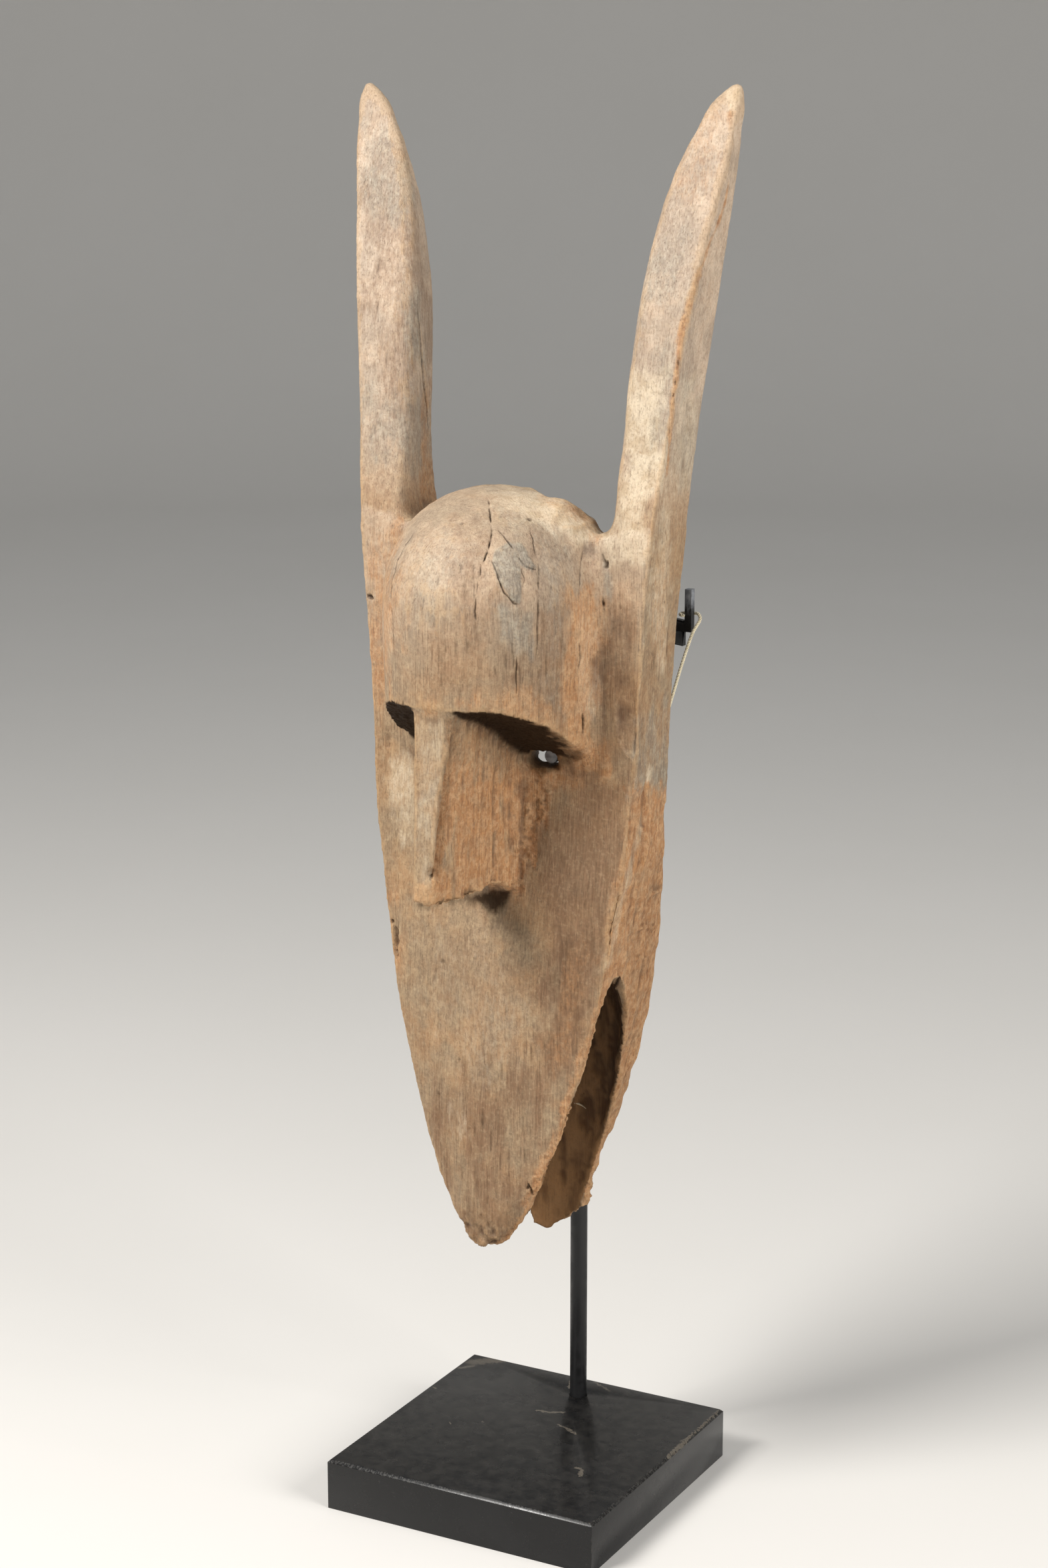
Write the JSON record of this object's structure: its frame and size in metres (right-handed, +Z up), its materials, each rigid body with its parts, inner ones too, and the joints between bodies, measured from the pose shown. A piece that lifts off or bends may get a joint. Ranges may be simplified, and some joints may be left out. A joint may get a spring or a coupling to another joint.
{
  "type": "hyena mask on a stand",
  "caption": "Tall carved wooden hyena mask with domed forehead, slab nose, slit mouth and upright ears, held on a rod stand with a square base.",
  "frame": {"origin": "centre of the underside of the stand's square base", "axes": "+Z up, the mask faces -Y, +X is on the right of someone who looks it in the face"},
  "size_m": [0.2254, 0.2013, 0.795],
  "materials": {
    "carved_wood": "worn dry patina",
    "black_lacquer": "satin lacquer",
    "black_steel": "matt paint",
    "string": "twisted cotton"
  },
  "bodies": {
    "root": {"hyena_mask": "carved_wood", "stand_base": "black_lacquer", "stand_rod": "black_steel", "cradle_bar": "black_steel", "eye_fork": "black_steel", "tie_cord": "string"}
  },
  "joints": []
}
